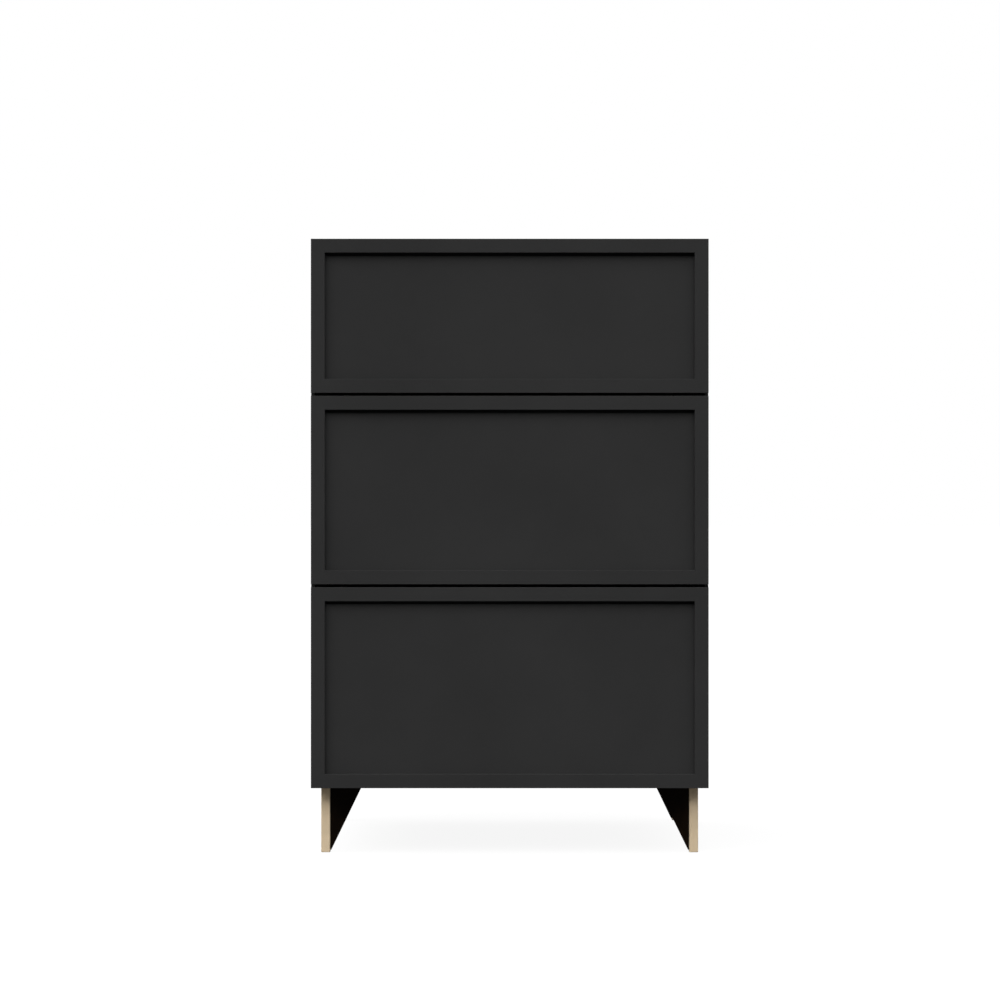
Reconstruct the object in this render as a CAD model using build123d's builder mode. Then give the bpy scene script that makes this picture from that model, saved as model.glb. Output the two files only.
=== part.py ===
from build123d import *
import math
import os

os.makedirs("parts", exist_ok=True)

# A bedside cabinet with three drawers on four metal legs. Millimetres. X runs across it, -Y is its
# front and +Z is up. The origin is on the floor, under the middle of the whole cabinet.

# ------------------------------------------------------------------------------- driving dimensions
WIDTH = 400.0
DEPTH = 380.0
LEG_H = 67.0
FRONT_H = {"bottom": 202.0, "middle": 189.5, "top": 155.0}
FRONT_GAP = 3.0
FRONT_T = 18.0
PRESS_GAP = 3.0  # a closed front stands this far off the carcass, so that it can be pressed in
BOARD_T = 16.0

# Drawer fronts: a slim frame with a panel let in from behind
RAIL_W = 14.0
RECESS = 6.0
SEAT_W = 5.0
SHADOW_SLOT_H = 3.0
SHADOW_SLOT_D = 8.0
FRONT_EDGE_R = 0.3

# The side panels' thin lips run forward beside the fronts, which cover them with a thin flange
LIP_W = 3.8
LIP_CLEAR = 0.6
FLANGE_T = 2.0

# Carcass
EDGE_R = 0.8
SEAM = 0.35  # small chamfer along the joints between the boards
BACK_T = 4.0
BACK_INSET = 10.0
GROOVE_D = 8.0

# Eccentric connectors between the sides and the top and bottom
CAM_R = 7.5
CAM_T = 12.5
CAM_FROM_END = 24.0
CAM_FROM_FRONT = 80.0
CAM_FROM_REAR = 70.0
CAM_POCKET_D = 10.5
BOLT_SHANK_R = 2.5
BOLT_HEAD_R = 3.5
BOLT_HEAD_T = 3.0
BOLT_THREAD_L = 11.0
BOLT_TUNNEL_R = 4.0
CAM_CROSS = (8.0, 1.6, 2.0)

# Legs: a square post with a tapered diagonal fin under a plate let into the bottom
POST_W = 9.0
POST_EDGE_R = 0.6
POST_FOOT_CHAMFER = 0.4
LEG_FROM_SIDE = 9.1
LEG_FROM_FRONT = 4.0
LEG_FROM_REAR = 12.0
FIN_T = 5.0
FIN_REACH = 32.4  # how far the fin stands out of the post at its top, across the cabinet
FIN_CLEAR = 1.9
PLATE_W = 46.0
PLATE_T = 3.0
PLATE_CORNER_R = 5.0
PLATE_SCREWS = [(24.0, 9.0), (38.0, 20.0), (9.0, 24.0), (20.0, 38.0)]
LEG_SCREW_R = 2.0
LEG_SCREW_HEAD_R = 4.0
LEG_SCREW_L = 12.0
LEG_SCREW_CROSS = (4.4, 0.9, 1.4)  # length, width and depth of the driver cross

# Drawer boxes
BOX_LIFT = 28.0
BOX_DROP = 24.0
BOX_LENGTH = 315.0
BOX_T = 12.0
BOX_EDGE_R = 1.5
BOX_BOTTOM_T = 5.0
BOX_BOTTOM_LIFT = 10.0
BOX_GROOVE_D = 6.0
FRONT_SCREW_R = 2.0
FRONT_SCREW_HEAD_R = 4.0
FRONT_SCREW_HEAD_T = 2.4
FRONT_SCREW_BITE = 9.0
FRONT_SCREW_X = 110.0
FRONT_SCREW_IN = 30.0
FRONT_SCREW_CROSS = (4.6, 1.0, 1.6)

# Ball-bearing runners: three nested channels
RUNNER_T = 12.7
RUNNER_L = 300.0
RUNNER_SET_BACK = 2.0
RUNNER_LIFT = 45.0
SHEET_T = 1.2
BALL_GAP = 2.0
OUTER_H = 45.0
OUTER_REACH = 11.0
MIDDLE_FROM = 4.4
MIDDLE_TO = 10.6
MIDDLE_SHORT = 5.0
INNER_FROM = 6.6
RUNNER_SCREW_R = 1.75
RUNNER_SCREW_HEAD_R = 3.5
RUNNER_SCREW_HEAD_T = 2.2
RUNNER_SCREW_BITE = 9.0
RUNNER_SCREW_CROSS = (4.0, 0.9, 1.3)
OUTER_SCREWS = [35.0, 150.0, 265.0]  # from the runner's front end
INNER_SCREWS = [40.0, 230.0]
SLOT_L = 8.0
SLOT_W = 4.2
INNER_SLOTS = [70.0, 200.0]

# Push latches, beside each drawer box on the right-hand side
LATCH_T = 11.5
LATCH_H = 14.0
LATCH_L = 62.0
LATCH_LIFT = 85.0
LATCH_EDGE_R = 2.0
EAR_T = 3.0
EAR_REACH = 8.0
EAR_L = 20.0
EAR_FROM_FRONT = 17.0
PLUNGER_R = 3.0
PLUNGER_CLEAR = 0.1
PLUNGER_NOSE_GAP = 0.2
PLUNGER_L = 46.8
LATCH_BORE_L = 47.0
NOSE_R = 1.2

# ---------------------------------------------------------------------------------- derived places
HALF_W = WIDTH / 2
FRONT_Y = -DEPTH / 2
REAR_Y = DEPTH / 2
FRONT_BACK_Y = FRONT_Y + FRONT_T
CARCASS_Y = FRONT_BACK_Y + PRESS_GAP
LIP_Y = FRONT_Y + FLANGE_T + PRESS_GAP
LEVELS = list(FRONT_H)
SIDES = {"left": -1, "right": 1}

front_base = {}
level_z = LEG_H
for level in LEVELS:
    front_base[level] = level_z
    level_z += FRONT_H[level] + FRONT_GAP
TOTAL_H = level_z - FRONT_GAP

SIDE_Z0 = LEG_H + BOARD_T
SIDE_Z1 = TOTAL_H - BOARD_T
INNER_X = HALF_W - BOARD_T
BACK_Y1 = REAR_Y - BACK_INSET
BACK_Y0 = BACK_Y1 - BACK_T
BOX_X = INNER_X - RUNNER_T
BOX_INNER_X = BOX_X - BOX_T
BOX_REAR_Y = FRONT_BACK_Y + BOX_LENGTH
RUNNER_Y = CARCASS_Y + RUNNER_SET_BACK
CAM_YS = [CARCASS_Y + CAM_FROM_FRONT, REAR_Y - CAM_FROM_REAR]
JOINT_X = HALF_W - BOARD_T / 2

box_base = {level: front_base[level] + BOX_LIFT for level in LEVELS}
box_top = {level: front_base[level] + FRONT_H[level] - BOX_DROP for level in LEVELS}
runner_z = {level: box_base[level] + RUNNER_LIFT for level in LEVELS}
latch_z = {level: box_base[level] + LATCH_LIFT for level in LEVELS}


# --------------------------------------------------------------------------------- shared building
def slab(xs, ys, zs, mode=Mode.ADD):
    """A rectangular block between the limits given on each axis, in the part being built."""
    x0, x1 = sorted(xs)
    y0, y1 = sorted(ys)
    z0, z1 = sorted(zs)
    with BuildSketch(Plane.XY.offset(z0)) as footprint:
        with Locations(((x0 + x1) / 2, (y0 + y1) / 2)):
            Rectangle(x1 - x0, y1 - y0)
    extrude(footprint.sketch, amount=z1 - z0, mode=mode)


def rod(start, direction, radius, length, mode=Mode.ADD):
    """A round bar or hole from a start point along a direction, in the part being built."""
    with BuildSketch(Plane(origin=start, z_dir=direction)) as section:
        Circle(radius)
    extrude(section.sketch, amount=length, mode=mode)


def cone(start, direction, radius_0, radius_1, length, mode=Mode.ADD):
    """A tapered round plug or countersink from a start point along a direction."""
    with BuildSketch(Plane(origin=start, z_dir=direction)) as wide:
        Circle(radius_0)
    far = Plane(origin=Vector(*start) + Vector(*direction) * length, z_dir=direction)
    with BuildSketch(far) as narrow:
        Circle(radius_1)
    loft([wide.sketch.face(), narrow.sketch.face()], mode=mode)


def driver_cross(face, direction, cross):
    """Cuts a screwdriver's cross into the middle of a head's face, in the part being built."""
    length, width, depth = cross
    with BuildSketch(Plane(origin=face, z_dir=direction)) as bars:
        Rectangle(length, width)
        Rectangle(width, length)
    extrude(bars.sketch, amount=depth, mode=Mode.SUBTRACT)


def write(piece, name):
    """Labels a finished piece and writes its file."""
    piece.part.label = name
    export_step(piece.part, f"parts/{name}.step")


def upright_edges(piece, x, y):
    """The vertical edges of a part at one place in plan."""
    return [
        edge
        for edge in piece.edges().filter_by(Axis.Z)
        if abs(edge.center().X - x) < 0.01 and abs(edge.center().Y - y) < 0.01
    ]


# ----------------------------------------------------------------------------------- screw places
def outer_screw_places(sx, level):
    """Where the screws of one cabinet member go, on the inner face of its side panel."""
    return [(sx * INNER_X, RUNNER_Y + along, runner_z[level]) for along in OUTER_SCREWS]


def inner_screw_places(sx, level):
    """Where the screws of one drawer member go, on the outer face of its box side."""
    return [(sx * BOX_X, RUNNER_Y + along, runner_z[level]) for along in INNER_SCREWS]


def latch_screw_places(level):
    """Where the two screws of one push latch go, on the inner face of the right side panel."""
    y = RUNNER_Y + EAR_FROM_FRONT + EAR_L / 2
    reach = (LATCH_H + EAR_REACH) / 2
    return [(INNER_X, y, latch_z[level] - reach), (INNER_X, y, latch_z[level] + reach)]


def front_screw_places(level):
    """Where the screws that hold one front go, on the inside of its box's front board."""
    heights = [box_base[level] + FRONT_SCREW_IN, box_top[level] - FRONT_SCREW_IN]
    return [(x, FRONT_BACK_Y + BOX_T, z) for x in (-FRONT_SCREW_X, FRONT_SCREW_X) for z in heights]


# ------------------------------------------------------------------------------------------ carcass
def make_side_panel(side):
    sx = SIDES[side]
    with BuildPart() as panel:
        slab((sx * HALF_W, sx * INNER_X), (CARCASS_Y, REAR_Y), (SIDE_Z0, SIDE_Z1))
        fillet(upright_edges(panel, sx * HALF_W, REAR_Y), radius=EDGE_R)
        seams = [edge for edge in panel.edges().filter_by(Axis.Y) if abs(edge.center().X) > JOINT_X]
        chamfer(seams, length=SEAM)
        # the lip, which also covers the ends of the top's and bottom's front edges
        slab((sx * HALF_W, sx * (HALF_W - LIP_W)), (LIP_Y, CARCASS_Y), (LEG_H, TOTAL_H))
        ends = panel.faces().sort_by(Axis.Z)
        corners = [
            edge
            for edge in (ends[0].edges() + ends[-1].edges()).filter_by(Axis.Y)
            if abs(abs(edge.center().X) - HALF_W) < 0.01
        ]
        fillet(corners, radius=EDGE_R)
        fillet(panel.faces().sort_by(Axis.Y)[0].edges(), radius=FRONT_EDGE_R)
        # groove for the back panel
        slab(
            (sx * INNER_X, sx * (INNER_X + GROOVE_D)),
            (BACK_Y0, BACK_Y1),
            (SIDE_Z0, SIDE_Z1),
            mode=Mode.SUBTRACT,
        )
        # bores for the eccentric connectors, with a tunnel in from each end
        for y in CAM_YS:
            for end_z, up in ((SIDE_Z0, 1), (SIDE_Z1, -1)):
                cam_z = end_z + up * CAM_FROM_END
                rod((sx * INNER_X, y, cam_z), (sx, 0, 0), CAM_R, CAM_T, mode=Mode.SUBTRACT)
                rod((sx * JOINT_X, y, end_z), (0, 0, up), BOLT_TUNNEL_R, CAM_FROM_END, mode=Mode.SUBTRACT)
        # pilot holes for the runners, and on the right for the latches
        places = [place for level in LEVELS for place in outer_screw_places(sx, level)]
        if side == "right":
            places += [place for level in LEVELS for place in latch_screw_places(level)]
        for place in places:
            rod(place, (sx, 0, 0), RUNNER_SCREW_R, RUNNER_SCREW_BITE, mode=Mode.SUBTRACT)
    write(panel, f"side_panel_{side}")


def make_top_panel():
    with BuildPart() as panel:
        slab((-HALF_W, HALF_W), (CARCASS_Y, REAR_Y), (SIDE_Z1, TOTAL_H))
        fillet(panel.faces().sort_by(Axis.Z)[-1].edges(), radius=EDGE_R)
        chamfer(panel.faces().sort_by(Axis.Z)[0].edges(), length=SEAM)
        slab(
            (-INNER_X - GROOVE_D, INNER_X + GROOVE_D),
            (BACK_Y0, BACK_Y1),
            (SIDE_Z1, SIDE_Z1 + GROOVE_D),
            mode=Mode.SUBTRACT,
        )
        for x in (-JOINT_X, JOINT_X):
            for y in CAM_YS:
                rod((x, y, SIDE_Z1), (0, 0, 1), BOLT_SHANK_R, BOLT_THREAD_L, mode=Mode.SUBTRACT)
    write(panel, "top_panel")


def make_bottom_panel():
    with BuildPart() as panel:
        slab((-HALF_W, HALF_W), (CARCASS_Y, REAR_Y), (LEG_H, SIDE_Z0))
        fillet(panel.faces().sort_by(Axis.Z)[0].edges(), radius=EDGE_R)
        chamfer(panel.faces().sort_by(Axis.Z)[-1].edges(), length=SEAM)
        slab(
            (-INNER_X - GROOVE_D, INNER_X + GROOVE_D),
            (BACK_Y0, BACK_Y1),
            (SIDE_Z0 - GROOVE_D, SIDE_Z0),
            mode=Mode.SUBTRACT,
        )
        for x in (-JOINT_X, JOINT_X):
            for y in CAM_YS:
                rod((x, y, SIDE_Z0), (0, 0, -1), BOLT_SHANK_R, BOLT_THREAD_L, mode=Mode.SUBTRACT)
        # each leg's plate is let in flush, and its screws bite into the board
        for leg in LEGS:
            with BuildSketch(Plane.XY.offset(LEG_H)) as pocket:
                leg_plate_outline(leg)
            extrude(pocket.sketch, amount=PLATE_T, mode=Mode.SUBTRACT)
            for x, y in leg_screw_places(leg):
                rod((x, y, LEG_H), (0, 0, 1), LEG_SCREW_R, LEG_SCREW_L, mode=Mode.SUBTRACT)
    write(panel, "bottom_panel")


def make_back_panel():
    with BuildPart() as panel:
        slab(
            (-INNER_X - GROOVE_D, INNER_X + GROOVE_D),
            (BACK_Y0, BACK_Y1),
            (SIDE_Z0 - GROOVE_D, SIDE_Z1 + GROOVE_D),
        )
    write(panel, "back_panel")


def make_cam_locks():
    """Eccentric discs in the side panels, each with a pocket that swallows a bolt's head."""
    with BuildPart() as cams:
        for sx in SIDES.values():
            for y in CAM_YS:
                for end_z, up in ((SIDE_Z0, 1), (SIDE_Z1, -1)):
                    cam_z = end_z + up * CAM_FROM_END
                    rod((sx * INNER_X, y, cam_z), (sx, 0, 0), CAM_R, CAM_T)
                    driver_cross((sx * INNER_X, y, cam_z), (sx, 0, 0), CAM_CROSS)
                    mouth = (sx * JOINT_X, y, cam_z - up * CAM_R)
                    rod(mouth, (0, 0, up), BOLT_TUNNEL_R, CAM_POCKET_D, mode=Mode.SUBTRACT)
    write(cams, "cam_locks")


def make_cam_bolts():
    """Connector bolts, screwed into the top and bottom and reaching into the discs."""
    with BuildPart() as bolts:
        for sx in SIDES.values():
            for y in CAM_YS:
                for end_z, up in ((SIDE_Z0, 1), (SIDE_Z1, -1)):
                    foot = (sx * JOINT_X, y, end_z - up * BOLT_THREAD_L)
                    rod(foot, (0, 0, up), BOLT_SHANK_R, BOLT_THREAD_L + CAM_FROM_END)
                    head = (sx * JOINT_X, y, end_z + up * (CAM_FROM_END - BOLT_HEAD_T))
                    rod(head, (0, 0, up), BOLT_HEAD_R, BOLT_HEAD_T)
    write(bolts, "cam_bolts")


# --------------------------------------------------------------------------------------------- legs
# Each leg's outer corner in plan, and the directions in which it runs inwards from there
LEGS = {}
for side_name, side_sign in SIDES.items():
    corner_x = side_sign * (HALF_W - LEG_FROM_SIDE)
    LEGS[f"front_{side_name}"] = (corner_x, CARCASS_Y + LEG_FROM_FRONT, -side_sign, 1)
    LEGS[f"rear_{side_name}"] = (corner_x, REAR_Y - LEG_FROM_REAR, -side_sign, -1)


def leg_screw_places(leg):
    """Where one leg's plate screws go in plan."""
    corner_x, corner_y, inward_x, inward_y = LEGS[leg]
    return [(corner_x + inward_x * u, corner_y + inward_y * v) for u, v in PLATE_SCREWS]


def leg_plate_outline(leg):
    """The rounded square of one leg's plate, in the sketch being drawn."""
    corner_x, corner_y, inward_x, inward_y = LEGS[leg]
    with Locations((corner_x + inward_x * PLATE_W / 2, corner_y + inward_y * PLATE_W / 2)):
        RectangleRounded(PLATE_W, PLATE_W, PLATE_CORNER_R)


def make_leg_post(leg):
    corner_x, corner_y, inward_x, inward_y = LEGS[leg]
    with BuildPart() as post:
        slab((corner_x, corner_x + inward_x * POST_W), (corner_y, corner_y + inward_y * POST_W), (0, LEG_H))
        fillet(post.edges().filter_by(Axis.Z), radius=POST_EDGE_R)
        chamfer(post.faces().sort_by(Axis.Z)[0].edges(), length=POST_FOOT_CHAMFER)
    write(post, f"leg_post_{leg}")


def make_leg_bracket(leg):
    """The plate under the cabinet and the diagonal fin, which tapers down to the post's foot."""
    corner_x, corner_y, inward_x, inward_y = LEGS[leg]
    inner_corner = (corner_x + inward_x * POST_W, corner_y + inward_y * POST_W)
    diagonal = Vector(inward_x, inward_y, 0).normalized()
    across = diagonal.cross(Vector(0, 0, 1))
    # the fin's end runs straight from the foot, where it is level with the post, to its full reach
    top_end = FIN_REACH * math.sqrt(2) - FIN_T / 2
    foot_end = -FIN_T / 2
    clear_end = foot_end + (top_end - foot_end) * FIN_CLEAR / LEG_H
    hidden_end = -POST_W / 2
    middle = Plane(origin=(*inner_corner, 0), x_dir=diagonal, z_dir=across)
    up = 1 if middle.y_dir.Z > 0 else -1
    with BuildPart() as bracket:
        with BuildSketch(Plane.XY.offset(LEG_H)) as plate:
            leg_plate_outline(leg)
        extrude(plate.sketch, amount=PLATE_T)
        with BuildSketch(middle) as fin:
            with BuildLine():
                Polyline(
                    (hidden_end, up * FIN_CLEAR),
                    (clear_end, up * FIN_CLEAR),
                    (top_end, up * LEG_H),
                    (hidden_end, up * LEG_H),
                    close=True,
                )
            make_face()
        extrude(fin.sketch, amount=FIN_T / 2, both=True)
        slab(
            (corner_x, corner_x + inward_x * POST_W),
            (corner_y, corner_y + inward_y * POST_W),
            (0, LEG_H),
            mode=Mode.SUBTRACT,
        )
        for x, y in leg_screw_places(leg):
            cone((x, y, LEG_H), (0, 0, 1), LEG_SCREW_HEAD_R, LEG_SCREW_R, LEG_SCREW_R, mode=Mode.SUBTRACT)
            rod((x, y, LEG_H), (0, 0, 1), LEG_SCREW_R, PLATE_T, mode=Mode.SUBTRACT)
    write(bracket, f"leg_bracket_{leg}")


def make_leg_screws():
    with BuildPart() as screws:
        for leg in LEGS:
            for x, y in leg_screw_places(leg):
                rod((x, y, LEG_H), (0, 0, 1), LEG_SCREW_R, LEG_SCREW_L)
                cone((x, y, LEG_H), (0, 0, 1), LEG_SCREW_HEAD_R, LEG_SCREW_R, LEG_SCREW_R)
                driver_cross((x, y, LEG_H), (0, 0, 1), LEG_SCREW_CROSS)
    write(screws, "leg_screws")


# ------------------------------------------------------------------------------------------ runners
MIDDLE_H = OUTER_H - 2 * (SHEET_T + BALL_GAP)
INNER_H = MIDDLE_H - 2 * (SHEET_T + BALL_GAP)


def channel(sx, level, near, far, web_at_near, height, y0, y1):
    """One member of folded sheet: a web and two flanges between two distances from the cabinet."""
    z = runner_z[level]
    web = (near, near + SHEET_T) if web_at_near else (far - SHEET_T, far)
    slab((sx * (INNER_X - web[0]), sx * (INNER_X - web[1])), (y0, y1), (z - height / 2, z + height / 2))
    for up in (-1, 1):
        slab(
            (sx * (INNER_X - near), sx * (INNER_X - far)),
            (y0, y1),
            (z + up * height / 2, z + up * (height / 2 - SHEET_T)),
        )


def make_runner_outer(side, level):
    sx = SIDES[side]
    with BuildPart() as member:
        channel(sx, level, 0, OUTER_REACH, True, OUTER_H, RUNNER_Y, RUNNER_Y + RUNNER_L)
        for place in outer_screw_places(sx, level):
            rod(place, (-sx, 0, 0), RUNNER_SCREW_R, SHEET_T, mode=Mode.SUBTRACT)
    write(member, f"runner_outer_{level}_{side}")


def make_runner_middle(level):
    """Both sides' intermediate members, which move together."""
    with BuildPart() as members:
        for sx in SIDES.values():
            y1 = RUNNER_Y + RUNNER_L - MIDDLE_SHORT
            channel(sx, level, MIDDLE_FROM, MIDDLE_TO, True, MIDDLE_H, RUNNER_Y, y1)
    write(members, f"runner_middle_{level}")


def make_runner_inner(side, level):
    sx = SIDES[side]
    with BuildPart() as member:
        channel(sx, level, INNER_FROM, RUNNER_T, False, INNER_H, RUNNER_Y, RUNNER_Y + RUNNER_L)
        for place in inner_screw_places(sx, level):
            rod(place, (sx, 0, 0), RUNNER_SCREW_R, SHEET_T, mode=Mode.SUBTRACT)
        for along in INNER_SLOTS:
            face = Plane(origin=(sx * BOX_X, RUNNER_Y + along, runner_z[level]), z_dir=(sx, 0, 0))
            with BuildSketch(face) as slot:
                SlotOverall(SLOT_L, SLOT_W, rotation=90)
            extrude(slot.sketch, amount=SHEET_T, mode=Mode.SUBTRACT)
    write(member, f"runner_inner_{level}_{side}")


def pan_screw(place, direction, sheet):
    """A pan-head screw: its thread bites along a direction, its head stands on sheet metal."""
    back = Vector(*direction) * -sheet
    start = Vector(*place) + back
    rod(tuple(start), direction, RUNNER_SCREW_R, sheet + RUNNER_SCREW_BITE)
    rod(tuple(start), tuple(-Vector(*direction)), RUNNER_SCREW_HEAD_R, RUNNER_SCREW_HEAD_T)
    crown = start - Vector(*direction) * RUNNER_SCREW_HEAD_T
    driver_cross(tuple(crown), direction, RUNNER_SCREW_CROSS)


def make_runner_screws():
    """The screws that hold the cabinet members and the push latches to the side panels."""
    with BuildPart() as screws:
        for sx in SIDES.values():
            for level in LEVELS:
                for place in outer_screw_places(sx, level):
                    pan_screw(place, (sx, 0, 0), SHEET_T)
        for level in LEVELS:
            for place in latch_screw_places(level):
                pan_screw(place, (1, 0, 0), EAR_T)
    write(screws, "runner_screws")


# ------------------------------------------------------------------------------------- push latches
LATCH_X = INNER_X - LATCH_T / 2


def make_push_latch_housings():
    with BuildPart() as housings:
        for level in LEVELS:
            z = latch_z[level]
            slab(
                (INNER_X - LATCH_T, INNER_X),
                (RUNNER_Y, RUNNER_Y + LATCH_L),
                (z - LATCH_H / 2, z + LATCH_H / 2),
            )
            ear = RUNNER_Y + EAR_FROM_FRONT
            slab(
                (INNER_X - EAR_T, INNER_X),
                (ear, ear + EAR_L),
                (z - LATCH_H / 2 - EAR_REACH, z + LATCH_H / 2 + EAR_REACH),
            )
            bore_r = PLUNGER_R + PLUNGER_CLEAR
            rod((LATCH_X, RUNNER_Y, z), (0, 1, 0), bore_r, LATCH_BORE_L, mode=Mode.SUBTRACT)
            for place in latch_screw_places(level):
                rod(place, (-1, 0, 0), RUNNER_SCREW_R, EAR_T, mode=Mode.SUBTRACT)
        long_edges = [
            edge
            for edge in housings.edges().filter_by(Axis.Y)
            if abs(edge.center().X - (INNER_X - LATCH_T)) < 0.01
        ]
        fillet(long_edges, radius=LATCH_EDGE_R)
    write(housings, "push_latch_housings")


def make_latch_plunger(level):
    nose_y = FRONT_BACK_Y + PLUNGER_NOSE_GAP
    with BuildPart() as plunger:
        rod((LATCH_X, nose_y, latch_z[level]), (0, 1, 0), PLUNGER_R, PLUNGER_L)
        fillet(plunger.faces().sort_by(Axis.Y)[0].edges(), radius=NOSE_R)
    write(plunger, f"latch_plunger_{level}")


# -------------------------------------------------------------------------------------------- fronts
def make_front_frame(level):
    z0 = front_base[level]
    z1 = z0 + FRONT_H[level]
    seat = RAIL_W - SEAT_W
    with BuildPart() as frame:
        slab((-HALF_W, HALF_W), (FRONT_Y, FRONT_BACK_Y), (z0, z1))
        # behind its flange the frame is cut back, to pass between the side panels' lips
        for sx in SIDES.values():
            slab(
                (sx * HALF_W, sx * (HALF_W - LIP_W - LIP_CLEAR)),
                (FRONT_Y + FLANGE_T, FRONT_BACK_Y),
                (z0, z1),
                mode=Mode.SUBTRACT,
            )
        slab(
            (-HALF_W + RAIL_W, HALF_W - RAIL_W),
            (FRONT_Y, FRONT_BACK_Y),
            (z0 + RAIL_W, z1 - RAIL_W),
            mode=Mode.SUBTRACT,
        )
        # the seat that takes the panel from behind
        slab(
            (-HALF_W + seat, HALF_W - seat),
            (FRONT_Y + RECESS, FRONT_BACK_Y),
            (z0 + seat, z1 - seat),
            mode=Mode.SUBTRACT,
        )
        fillet(frame.faces().sort_by(Axis.Y)[0].edges(), radius=FRONT_EDGE_R)
    write(frame, f"front_frame_{level}")


def make_front_panel(level):
    z0 = front_base[level]
    z1 = z0 + FRONT_H[level]
    seat = RAIL_W - SEAT_W
    with BuildPart() as panel:
        slab((-HALF_W + seat, HALF_W - seat), (FRONT_Y + RECESS, FRONT_BACK_Y), (z0 + seat, z1 - seat))
        # a slot under the top rail, undercut behind it, throws a black line of shadow
        slab(
            (-HALF_W + seat, HALF_W - seat),
            (FRONT_Y + RECESS, FRONT_Y + RECESS + SHADOW_SLOT_D),
            (z1 - RAIL_W - SHADOW_SLOT_H, z1 - seat),
            mode=Mode.SUBTRACT,
        )
        for x, y, z in front_screw_places(level):
            rod((x, FRONT_BACK_Y, z), (0, -1, 0), FRONT_SCREW_R, FRONT_SCREW_BITE, mode=Mode.SUBTRACT)
    write(panel, f"front_panel_{level}")


# -------------------------------------------------------------------------------------- drawer boxes
def box_board(level, xs, ys):
    """One upright board of a drawer box, its two upper long edges rounded over."""
    slab(xs, ys, (box_base[level], box_top[level]))


def round_top(board, along):
    """Rounds the two long upper edges of a board."""
    top = board.faces().sort_by(Axis.Z)[-1]
    fillet(top.edges().filter_by(along), radius=BOX_EDGE_R)


def bottom_groove(level, xs, ys):
    """The groove in a box board that the drawer's bottom slides into."""
    z0 = box_base[level] + BOX_BOTTOM_LIFT
    slab(xs, ys, (z0, z0 + BOX_BOTTOM_T), mode=Mode.SUBTRACT)


def make_box_side(side, level):
    sx = SIDES[side]
    with BuildPart() as board:
        box_board(level, (sx * BOX_INNER_X, sx * BOX_X), (FRONT_BACK_Y, BOX_REAR_Y))
        round_top(board, Axis.Y)
        bottom_groove(
            level,
            (sx * BOX_INNER_X, sx * (BOX_INNER_X + BOX_GROOVE_D)),
            (FRONT_BACK_Y + BOX_T - BOX_GROOVE_D, BOX_REAR_Y - BOX_T + BOX_GROOVE_D),
        )
        for place in inner_screw_places(sx, level):
            rod(place, (-sx, 0, 0), RUNNER_SCREW_R, RUNNER_SCREW_BITE, mode=Mode.SUBTRACT)
    write(board, f"box_{side}_{level}")


def make_box_front(level):
    with BuildPart() as board:
        box_board(level, (-BOX_INNER_X, BOX_INNER_X), (FRONT_BACK_Y, FRONT_BACK_Y + BOX_T))
        round_top(board, Axis.X)
        inner_y = FRONT_BACK_Y + BOX_T
        bottom_groove(level, (-BOX_INNER_X, BOX_INNER_X), (inner_y - BOX_GROOVE_D, inner_y))
        for place in front_screw_places(level):
            rod(place, (0, -1, 0), FRONT_SCREW_R, BOX_T, mode=Mode.SUBTRACT)
    write(board, f"box_front_{level}")


def make_box_back(level):
    with BuildPart() as board:
        box_board(level, (-BOX_INNER_X, BOX_INNER_X), (BOX_REAR_Y - BOX_T, BOX_REAR_Y))
        round_top(board, Axis.X)
        inner_y = BOX_REAR_Y - BOX_T
        bottom_groove(level, (-BOX_INNER_X, BOX_INNER_X), (inner_y, inner_y + BOX_GROOVE_D))
    write(board, f"box_back_{level}")


def make_box_bottom(level):
    z0 = box_base[level] + BOX_BOTTOM_LIFT
    with BuildPart() as board:
        slab(
            (-BOX_INNER_X - BOX_GROOVE_D, BOX_INNER_X + BOX_GROOVE_D),
            (FRONT_BACK_Y + BOX_T - BOX_GROOVE_D, BOX_REAR_Y - BOX_T + BOX_GROOVE_D),
            (z0, z0 + BOX_BOTTOM_T),
        )
    write(board, f"box_bottom_{level}")


def make_drawer_screws(level):
    """Four long screws through the box into the front, and two short ones in each drawer member."""
    with BuildPart() as screws:
        for place in front_screw_places(level):
            rod(place, (0, -1, 0), FRONT_SCREW_R, BOX_T + FRONT_SCREW_BITE)
            rod(place, (0, 1, 0), FRONT_SCREW_HEAD_R, FRONT_SCREW_HEAD_T)
            x, y, z = place
            driver_cross((x, y + FRONT_SCREW_HEAD_T, z), (0, -1, 0), FRONT_SCREW_CROSS)
        for sx in SIDES.values():
            for place in inner_screw_places(sx, level):
                pan_screw(place, (-sx, 0, 0), SHEET_T)
    write(screws, f"drawer_screws_{level}")


# ----------------------------------------------------------------------------------------- all parts
for side in SIDES:
    make_side_panel(side)
make_top_panel()
make_bottom_panel()
make_back_panel()
make_cam_locks()
make_cam_bolts()
for leg in LEGS:
    make_leg_post(leg)
    make_leg_bracket(leg)
make_leg_screws()
make_runner_screws()
make_push_latch_housings()
for level in LEVELS:
    make_front_frame(level)
    make_front_panel(level)
    make_box_front(level)
    make_box_back(level)
    make_box_bottom(level)
    make_runner_middle(level)
    make_latch_plunger(level)
    make_drawer_screws(level)
    for side in SIDES:
        make_box_side(side, level)
        make_runner_outer(side, level)
        make_runner_inner(side, level)
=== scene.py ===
"""A slim black bedside cabinet: three framed drawers on brass legs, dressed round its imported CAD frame."""

import math

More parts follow.
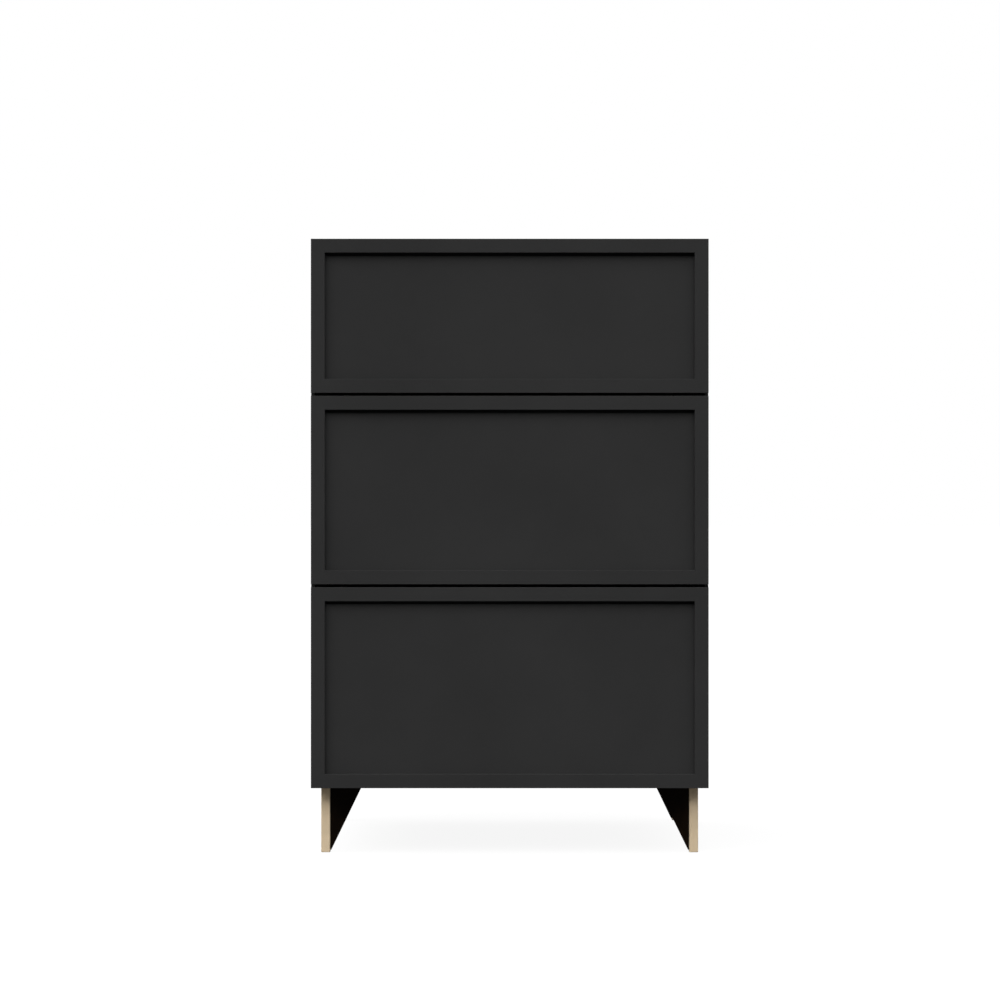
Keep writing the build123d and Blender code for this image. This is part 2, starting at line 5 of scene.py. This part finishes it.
import bmesh
import bpy
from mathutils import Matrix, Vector


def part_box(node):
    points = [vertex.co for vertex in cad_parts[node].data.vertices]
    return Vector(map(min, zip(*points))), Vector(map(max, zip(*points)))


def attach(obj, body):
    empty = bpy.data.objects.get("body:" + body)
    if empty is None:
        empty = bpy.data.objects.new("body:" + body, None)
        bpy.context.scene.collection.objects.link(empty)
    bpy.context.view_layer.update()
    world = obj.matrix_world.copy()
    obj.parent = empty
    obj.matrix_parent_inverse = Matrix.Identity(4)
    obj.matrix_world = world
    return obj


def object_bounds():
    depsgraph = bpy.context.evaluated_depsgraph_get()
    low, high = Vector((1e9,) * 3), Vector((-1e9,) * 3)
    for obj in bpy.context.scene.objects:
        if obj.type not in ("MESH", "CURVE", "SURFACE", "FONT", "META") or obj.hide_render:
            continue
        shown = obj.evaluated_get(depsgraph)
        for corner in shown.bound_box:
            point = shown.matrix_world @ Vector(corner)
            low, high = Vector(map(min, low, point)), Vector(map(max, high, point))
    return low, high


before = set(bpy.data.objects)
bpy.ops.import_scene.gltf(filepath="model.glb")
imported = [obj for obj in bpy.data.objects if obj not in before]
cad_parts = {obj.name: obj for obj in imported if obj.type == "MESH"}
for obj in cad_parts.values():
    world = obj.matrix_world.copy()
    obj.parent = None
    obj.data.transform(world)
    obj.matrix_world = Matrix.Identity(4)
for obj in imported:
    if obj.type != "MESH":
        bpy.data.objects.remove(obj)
cad_low, cad_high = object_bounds()

# ---------------------------------------------------------------------------------- named values
# Lengths are in metres, apart from the camera's lens and sensor, in millimetres
WHITE = (1.0, 1.0, 1.0, 1.0)

LEVELS = ("bottom", "middle", "top")
SIDES = {"left": -1, "right": 1}

CAMERA_LENS = 118.74
CAMERA_SENSOR = 36.0
CAMERA_BACK = 3.316  # from the drawer fronts
CAMERA_SIDE = -0.0098
CAMERA_HEIGHT = 0.3568
CAMERA_NEAR = 0.05
CAMERA_FAR = 100.0

FLOOR_REACH = 40.0
FLOOR_GLOW = 0.91  # what the camera sees of the floor before any light falls on it
FLOOR_TONE = 0.10  # what the cabinet sees of it, without the glow

# Soft light from a ring round the studio, in degrees above the horizon
RING_LOW = (21.0, 30.0)  # where it rises
RING_HIGH = (60.0, 74.0)  # where it falls
RING_BRIGHT = 2.87
RING_BEHIND = 0.6  # of its brightness in front
RING_FADE = 0.3  # from front to behind over this much each side of the middle, along a direction's Y
RING_LEAN = 0.45  # brighter by this on the left, and dimmer on the right
RING_SWING = 0.8  # from left to right over this much each side of the middle, along its X
SKY_FILL = 0.16
SKY_SEEN = 1.0

# Ball cages between the runner members: strips of sheet that keep rows of steel balls apart
RUNNER_LENGTH = 0.300
RUNNER_TRAVEL = 0.150  # of the middle member
CAGE_END = 0.006  # clear of the ends of the members
CAGE_SHEET = 0.0005
CAGE_LIFT = 0.0010  # the turned-up sides
CAGE_WIDTH = 0.0046
BALL_RADIUS = 0.00095
BALL_PITCH = 0.0065
BALL_RINGS = 6
BALL_SEGMENTS = 10
# Each row's distance from the side panel and from the runner's middle height
OUTER_ROW = (0.0075, 0.0203)
INNER_ROW = (0.0086, 0.0171)


# ---------------------------------------------------------------------------------- node helpers
def add_node(tree, kind, inputs=None, **settings):
    """Adds a node, sets its own settings, and fills or links its inputs."""
    made = tree.nodes.new(kind)
    for key, value in settings.items():
        setattr(made, key, value)
    for key, value in (inputs or {}).items():
        if isinstance(value, bpy.types.NodeSocket):
            tree.links.new(value, made.inputs[key])
        else:
            made.inputs[key].default_value = value
    return made


def new_material(name):
    """An empty node material with its shader, and the coordinates of the object's own frame."""
    made = bpy.data.materials.new(name)
    made.use_nodes = True
    tree = made.node_tree
    tree.nodes.clear()
    shader = add_node(tree, "ShaderNodeBsdfPrincipled")
    add_node(tree, "ShaderNodeOutputMaterial", {"Surface": shader.outputs["BSDF"]})
    place = add_node(tree, "ShaderNodeTexCoord").outputs["Object"]
    return made, tree, shader, place


def noise(tree, vector, scale, detail=2.0, roughness=0.5, distortion=0.0):
    """The grey output of a noise texture, scale in features per metre."""
    settings = {
        "Vector": vector,
        "Scale": scale,
        "Detail": detail,
        "Roughness": roughness,
        "Distortion": distortion,
    }
    return add_node(tree, "ShaderNodeTexNoise", settings).outputs["Fac"]


def stretched(tree, vector, scale):
    """The coordinates scaled by a different amount on each axis."""
    return add_node(tree, "ShaderNodeMapping", {"Vector": vector, "Scale": scale}).outputs["Vector"]


def spread(tree, value, low, high, to_low, to_high, way="LINEAR"):
    """Maps a value from one range to another, held at the ends."""
    settings = {"Value": value, "From Min": low, "From Max": high, "To Min": to_low, "To Max": to_high}
    return add_node(tree, "ShaderNodeMapRange", settings, interpolation_type=way).outputs["Result"]


def maths(tree, operation, first, second=0.0):
    """One sum on one or two values."""
    return add_node(tree, "ShaderNodeMath", {0: first, 1: second}, operation=operation).outputs[0]


def ramp(tree, value, stops):
    """A colour ramp through (position, colour) stops."""
    made = add_node(tree, "ShaderNodeValToRGB", {"Fac": value})
    elements = made.color_ramp.elements
    while len(elements) < len(stops):
        elements.new(0.5)
    for element, (position, colour) in zip(elements, stops):
        element.position = position
        element.color = (*colour, 1.0)
    return made.outputs["Color"]


def mix_colour(tree, factor, first, second, blend="MIX"):
    """Two colours mixed by a factor."""
    made = add_node(tree, "ShaderNodeMix", data_type="RGBA", blend_type=blend)
    for socket, value in ((made.inputs[0], factor), (made.inputs[6], first), (made.inputs[7], second)):
        if isinstance(value, bpy.types.NodeSocket):
            tree.links.new(value, socket)
        else:
            socket.default_value = value if isinstance(value, float) else (*value, 1.0)
    return made.outputs[2]


def bump(tree, height, distance, under=None):
    """A bump from a height map, over another bump if one is given."""
    inputs = {"Height": height, "Distance": distance, "Strength": 1.0}
    if under is not None:
        inputs["Normal"] = under
    return add_node(tree, "ShaderNodeBump", inputs).outputs["Normal"]


def grey(value):
    """A neutral colour."""
    return (value, value, value)


# ------------------------------------------------------------------------------------- materials
def lacquer(name, dark, light, rough_low, rough_high):
    """Sprayed matt lacquer: a faint orange peel, fine mist grain and cloudy changes in sheen."""
    made, tree, shader, place = new_material(name)
    clouds = noise(tree, place, 7.0, detail=4.0, roughness=0.6)
    mist = noise(tree, place, 2400.0, detail=1.0)
    peel = noise(tree, place, 330.0, detail=1.5)
    tone = ramp(tree, clouds, [(0.35, dark), (0.65, light)])
    tree.links.new(tone, shader.inputs["Base Color"])
    tree.links.new(spread(tree, clouds, 0.3, 0.7, rough_low, rough_high), shader.inputs["Roughness"])
    relief = bump(tree, peel, 0.00001)
    tree.links.new(bump(tree, mist, 0.000004, relief), shader.inputs["Normal"])
    shader.inputs["Specular IOR Level"].default_value = 0.1
    return made


def hardboard(name):
    """Pressed fibre board with a thin dark print."""
    made, tree, shader, place = new_material(name)
    fibres = noise(tree, place, 420.0, detail=5.0, roughness=0.7, distortion=0.6)
    tone = ramp(tree, fibres, [(0.3, (0.0155, 0.0150, 0.0145)), (0.7, (0.0320, 0.0312, 0.0302))])
    tree.links.new(tone, shader.inputs["Base Color"])
    tree.links.new(bump(tree, fibres, 0.00004), shader.inputs["Normal"])
    shader.inputs["Roughness"].default_value = 0.68
    shader.inputs["Specular IOR Level"].default_value = 0.3
    return made


def walnut(name, grain_scale):
    """Walnut-faced board: growth bands, fine streaks and open pores, all drawn out along the grain."""
    made, tree, shader, place = new_material(name)
    along = stretched(tree, place, grain_scale)
    bands = noise(tree, along, 26.0, detail=3.0, roughness=0.55, distortion=1.4)
    streaks = noise(tree, along, 190.0, detail=4.0, roughness=0.65)
    pores = noise(tree, along, 900.0, detail=2.0, roughness=0.5)
    ground = ramp(
        tree,
        bands,
        [(0.32, (0.250, 0.150, 0.086)), (0.50, (0.185, 0.106, 0.058)), (0.64, (0.125, 0.068, 0.036))],
    )
    streak_tone = ramp(tree, streaks, [(0.35, grey(0.76)), (0.65, grey(1.0))])
    pore_mask = spread(tree, pores, 0.30, 0.42, 1.0, 0.0)
    wood = mix_colour(tree, 1.0, ground, streak_tone, "MULTIPLY")
    tree.links.new(mix_colour(tree, pore_mask, wood, (0.060, 0.032, 0.017)), shader.inputs["Base Color"])
    tree.links.new(spread(tree, streaks, 0.3, 0.7, 0.42, 0.56), shader.inputs["Roughness"])
    relief = bump(tree, spread(tree, pores, 0.30, 0.45, 0.0, 1.0), 0.00005)
    tree.links.new(bump(tree, streaks, 0.00002, relief), shader.inputs["Normal"])
    shader.inputs["Specular IOR Level"].default_value = 0.3
    return made


def zinc(name, base, rough):
    """Bright zinc on rolled sheet: drawn lines along the runner and a soft mottled bloom."""
    made, tree, shader, place = new_material(name)
    drawn = noise(tree, stretched(tree, place, (1.0, 0.01, 1.0)), 1800.0, detail=2.0)
    bloom = noise(tree, place, 60.0, detail=4.0, roughness=0.65)
    low = tuple(0.92 * part for part in base)
    tree.links.new(ramp(tree, bloom, [(0.35, low), (0.65, base)]), shader.inputs["Base Color"])
    tree.links.new(spread(tree, bloom, 0.3, 0.7, rough, rough + 0.14), shader.inputs["Roughness"])
    tree.links.new(bump(tree, drawn, 0.00001), shader.inputs["Normal"])
    shader.inputs["Metallic"].default_value = 1.0
    return made


def brass(name):
    """Champagne brass, brushed up and down, with a light bloom where it has been handled."""
    made, tree, shader, place = new_material(name)
    brushed = noise(tree, stretched(tree, place, (1.0, 1.0, 0.012)), 2600.0, detail=3.0, roughness=0.6)
    bloom = noise(tree, place, 55.0, detail=4.0, roughness=0.6)
    tone = ramp(tree, bloom, [(0.35, (0.90, 0.755, 0.545)), (0.65, (0.96, 0.81, 0.600))])
    tree.links.new(tone, shader.inputs["Base Color"])
    tree.links.new(spread(tree, brushed, 0.3, 0.7, 0.62, 0.76), shader.inputs["Roughness"])
    tree.links.new(bump(tree, brushed, 0.000012), shader.inputs["Normal"])
    shader.inputs["Metallic"].default_value = 1.0
    return made


def painted_shade_bronze(name):
    """Near-black warm bronze that is painted shade: its dark colour stands in for the deep shade under the
    cabinet, on brackets likely of the same brass as the posts; tone and roughness vary a little at random.
    """
    made, tree, shader, place = new_material(name)
    shade_mottle = noise(tree, place, 120.0, detail=5.0, roughness=0.65)
    grain = noise(tree, place, 1500.0, detail=2.0)
    # painted shade: these near-black tones stand in for the shade under the cabinet, not for the metal's own
    # colour
    tone = ramp(tree, shade_mottle, [(0.35, (0.0060, 0.0030, 0.0012)), (0.70, (0.0140, 0.0072, 0.0030))])
    tree.links.new(tone, shader.inputs["Base Color"])
    tree.links.new(spread(tree, shade_mottle, 0.3, 0.7, 0.48, 0.62), shader.inputs["Roughness"])
    tree.links.new(bump(tree, grain, 0.000012), shader.inputs["Normal"])
    shader.inputs["Specular IOR Level"].default_value = 0.10
    return made


def moulded(name, base):
    """Injection-moulded plastic with a fine spark-eroded grain."""
    made, tree, shader, place = new_material(name)
    grain = noise(tree, place, 2100.0, detail=2.0)
    cloud = noise(tree, place, 45.0, detail=3.0)
    low = tuple(0.9 * part for part in base)
    tree.links.new(ramp(tree, cloud, [(0.35, low), (0.65, base)]), shader.inputs["Base Color"])
    tree.links.new(spread(tree, cloud, 0.3, 0.7, 0.42, 0.5), shader.inputs["Roughness"])
    tree.links.new(bump(tree, grain, 0.00001), shader.inputs["Normal"])
    return made


def plain_floor(name):
    """A pale studio floor, bright to the camera but dark to the cabinet, which gets little light from it."""
    made, tree, shader, place = new_material(name)
    clouds = noise(tree, place, 3.0)
    tone = ramp(tree, clouds, [(0.3, grey(0.97 * FLOOR_TONE)), (0.7, grey(FLOOR_TONE))])
    by_camera = add_node(tree, "ShaderNodeLightPath").outputs["Is Camera Ray"]
    tree.links.new(tone, shader.inputs["Base Color"])
    tree.links.new(spread(tree, by_camera, 0.0, 1.0, 0.0, FLOOR_GLOW), shader.inputs["Emission Strength"])
    shader.inputs["Emission Color"].default_value = WHITE
    shader.inputs["Roughness"].default_value = 0.8
    shader.inputs["Specular IOR Level"].default_value = 0.0
    return made


# ------------------------------------------------------------------------------- carried-over CAD
def dress(nodes, material):
    """Gives CAD nodes a material in place of their plain one."""
    for name in nodes:
        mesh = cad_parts[name].data
        mesh.materials.clear()
        mesh.materials.append(material)


def dress_carcass(black, screw_steel):
    dress(["side_panel_left", "side_panel_right", "top_panel", "bottom_panel"], black)
    dress(["back_panel"], hardboard("back_board"))
    dress(["cam_locks", "cam_bolts", "runner_screws"], screw_steel)
    dress(["push_latch_housings"], moulded("latch_grey", (0.20, 0.20, 0.21)))


def dress_legs():
    dress([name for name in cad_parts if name.startswith("leg_post_")], brass("champagne_brass"))
    # painted shade: the brackets get a near-black colour in place of the shade that falls on them under the
    # cabinet
    dress([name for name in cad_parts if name.startswith("leg_bracket_")], painted_shade_bronze("painted_shade_black_bronze"))
    dress(["leg_screws"], zinc("black_screws", (0.035, 0.034, 0.033), 0.35))


def dress_drawers(black, screw_steel):
    steel = zinc("zinc_steel", (0.70, 0.72, 0.75), 0.26)
    plunger = moulded("plunger_pale", (0.62, 0.62, 0.60))
    grain_y = walnut("walnut_along_y", (1.0, 0.05, 1.0))
    grain_x = walnut("walnut_along_x", (0.05, 1.0, 1.0))
    for level in LEVELS:
        dress([f"front_frame_{level}", f"front_panel_{level}"], black)
        dress([f"box_left_{level}", f"box_right_{level}"], grain_y)
        dress([f"box_front_{level}", f"box_back_{level}", f"box_bottom_{level}"], grain_x)
        dress([f"drawer_screws_{level}"], screw_steel)
        dress([f"latch_plunger_{level}"], plunger)
        dress([f"runner_middle_{level}"], steel)
        for side in SIDES:
            dress([f"runner_outer_{level}_{side}", f"runner_inner_{level}_{side}"], steel)


# ------------------------------------------------------------------------------------- ball cages
def add_object(name, data):
    """Puts a mesh or a camera into the scene."""
    made = bpy.data.objects.new(name, data)
    bpy.context.scene.collection.objects.link(made)
    return made


def add_ball(mesh, centre):
    """One steel ball: rings of faces between two poles."""
    turns = [2 * math.pi * step / BALL_SEGMENTS for step in range(BALL_SEGMENTS)]
    rings = []
    for ring in range(1, BALL_RINGS):
        polar = math.pi * ring / BALL_RINGS
        reach = BALL_RADIUS * math.sin(polar)
        height = BALL_RADIUS * math.cos(polar)
        spots = [(reach * math.cos(turn), reach * math.sin(turn), height) for turn in turns]
        rings.append([mesh.verts.new(centre + Vector(spot)) for spot in spots])
    top = mesh.verts.new(centre + Vector((0, 0, BALL_RADIUS)))
    bottom = mesh.verts.new(centre - Vector((0, 0, BALL_RADIUS)))
    faces = []
    for step in range(BALL_SEGMENTS):
        after = (step + 1) % BALL_SEGMENTS
        faces.append(mesh.faces.new((top, rings[0][step], rings[0][after])))
        faces.append(mesh.faces.new((bottom, rings[-1][after], rings[-1][step])))
        for upper, lower in zip(rings, rings[1:]):
            faces.append(mesh.faces.new((upper[step], lower[step], lower[after], upper[after])))
    for face in faces:
        face.smooth = True


def add_strip(mesh, x, near, far, z):
    """A strip of sheet from near to far, its two long sides turned up a little."""
    left = x - CAGE_WIDTH / 2
    right = x + CAGE_WIDTH / 2
    under = z - CAGE_SHEET / 2
    profile = [
        (left, under + CAGE_LIFT),
        (left, under),
        (right, under),
        (right, under + CAGE_LIFT),
        (right - CAGE_SHEET, under + CAGE_LIFT),
        (right - CAGE_SHEET, under + CAGE_SHEET),
        (left + CAGE_SHEET, under + CAGE_SHEET),
        (left + CAGE_SHEET, under + CAGE_LIFT),
    ]
    near_end, far_end = [[mesh.verts.new((across, y, up)) for across, up in profile] for y in (near, far)]
    count = len(profile)
    for step in range(count):
        after = (step + 1) % count
        mesh.faces.new((near_end[step], far_end[step], far_end[after], near_end[after]))
    # each end is three flat faces: the two turned-up sides and the web between them
    for end in (near_end, far_end):
        for corners in ((0, 1, 6, 7), (1, 2, 5, 6), (2, 3, 4, 5)):
            mesh.faces.new([end[corner] for corner in corners])


def add_row(mesh, x, start, stop, z):
    """One strip and its row of balls, clear of both ends of its stretch of the runner."""
    near = start + CAGE_END
    far = stop - CAGE_END
    add_strip(mesh, x, near, far, z)
    for step in range(int((far - near) / BALL_PITCH)):
        add_ball(mesh, Vector((x, near + (step + 0.5) * BALL_PITCH, z)))


def make_ball_cage(level, side, steel):
    """One runner's four rows of balls, over and under its middle member, which they travel with."""
    low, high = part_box(f"runner_outer_{level}_right")
    middle_z = (low.z + high.z) / 2
    # the outer rows stay inside the cabinet member, the inner ones inside the drawer member
    halfway = low.y + RUNNER_TRAVEL
    rows = ((OUTER_ROW, halfway, low.y + RUNNER_LENGTH - CAGE_END), (INNER_ROW, low.y, halfway))
    made = bmesh.new()
    for (from_side, from_middle), start, stop in rows:
        x = SIDES[side] * (high.x - from_side)
        for up in (-1, 1):
            add_row(made, x, start, stop, middle_z + up * from_middle)
    bmesh.ops.recalc_face_normals(made, faces=made.faces)
    mesh = bpy.data.meshes.new(f"ball_cage_{level}_{side}")
    made.to_mesh(mesh)
    made.free()
    mesh.materials.append(steel)
    cage = add_object(mesh.name, mesh)
    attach(cage, f"runner_{level}")


# ------------------------------------------------------------------------------------------ stage
def make_floor():
    mesh = bpy.data.meshes.new("floor")
    reach = FLOOR_REACH
    corners = [(-reach, -reach, 0), (reach, -reach, 0), (reach, reach, 0), (-reach, reach, 0)]
    mesh.from_pydata(corners, [], [(0, 1, 2, 3)])
    mesh.materials.append(plain_floor("pale_floor"))
    add_object("floor", mesh)


def rise_between(tree, elevation, edges):
    """0 below the first of two elevations and 1 above the second, with a smooth rise between them."""
    low, high = [math.radians(edge) for edge in edges]
    return spread(tree, elevation, low, high, 0.0, 1.0, way="SMOOTHSTEP")


def make_sky():
    """A bright ring halfway up the sky, over a faint fill; to the camera it is plain white."""
    world = bpy.data.worlds.new("studio")
    bpy.context.scene.world = world
    world.use_nodes = True
    tree = world.node_tree
    tree.nodes.clear()
    direction = add_node(tree, "ShaderNodeTexCoord").outputs["Generated"]
    across = add_node(tree, "ShaderNodeSeparateXYZ", {"Vector": direction})
    elevation = maths(tree, "ARCSINE", across.outputs["Z"])
    above_low = rise_between(tree, elevation, RING_LOW)
    above_high = rise_between(tree, elevation, RING_HIGH)
    ring = maths(tree, "SUBTRACT", above_low, above_high)
    behind = RING_BRIGHT * RING_BEHIND
    facing = spread(tree, across.outputs["Y"], -RING_FADE, RING_FADE, RING_BRIGHT, behind)
    leaning = spread(tree, across.outputs["X"], -RING_SWING, RING_SWING, 1.0 + RING_LEAN, 1.0 - RING_LEAN)
    bright = maths(tree, "MULTIPLY", facing, leaning)
    glow = maths(tree, "ADD", maths(tree, "MULTIPLY", ring, bright), SKY_FILL)
    lit = add_node(tree, "ShaderNodeBackground", {"Color": WHITE, "Strength": glow})
    seen = add_node(tree, "ShaderNodeBackground", {"Color": WHITE, "Strength": SKY_SEEN})
    by_camera = add_node(tree, "ShaderNodeLightPath").outputs["Is Camera Ray"]
    both = add_node(tree, "ShaderNodeMixShader", {"Fac": by_camera, 1: lit.outputs[0], 2: seen.outputs[0]})
    add_node(tree, "ShaderNodeOutputWorld", {"Surface": both.outputs[0]})


def make_camera():
    data = bpy.data.cameras.new("camera")
    data.lens = CAMERA_LENS
    data.sensor_width = CAMERA_SENSOR
    data.clip_start = CAMERA_NEAR
    data.clip_end = CAMERA_FAR
    camera = add_object("camera", data)
    camera.location = (CAMERA_SIDE, cad_low.y - CAMERA_BACK, CAMERA_HEIGHT)
    camera.rotation_euler = (math.pi / 2, 0.0, 0.0)
    bpy.context.scene.camera = camera


def set_view():
    settings = bpy.context.scene.view_settings
    settings.view_transform = "Standard"
    settings.look = "None"


# ------------------------------------------------------------------------------------------- make
make_camera()
black_lacquer = lacquer("black_lacquer", (0.0284, 0.0284, 0.0285), (0.0316, 0.0316, 0.0317), 0.46, 0.54)
bright_screws = zinc("screw_steel", (0.62, 0.63, 0.64), 0.3)
dress_carcass(black_lacquer, bright_screws)
dress_legs()
dress_drawers(black_lacquer, bright_screws)
ball_steel = zinc("ball_steel", (0.78, 0.79, 0.80), 0.16)
for level in LEVELS:
    for side in SIDES:
        make_ball_cage(level, side, ball_steel)
make_floor()
make_sky()
set_view()
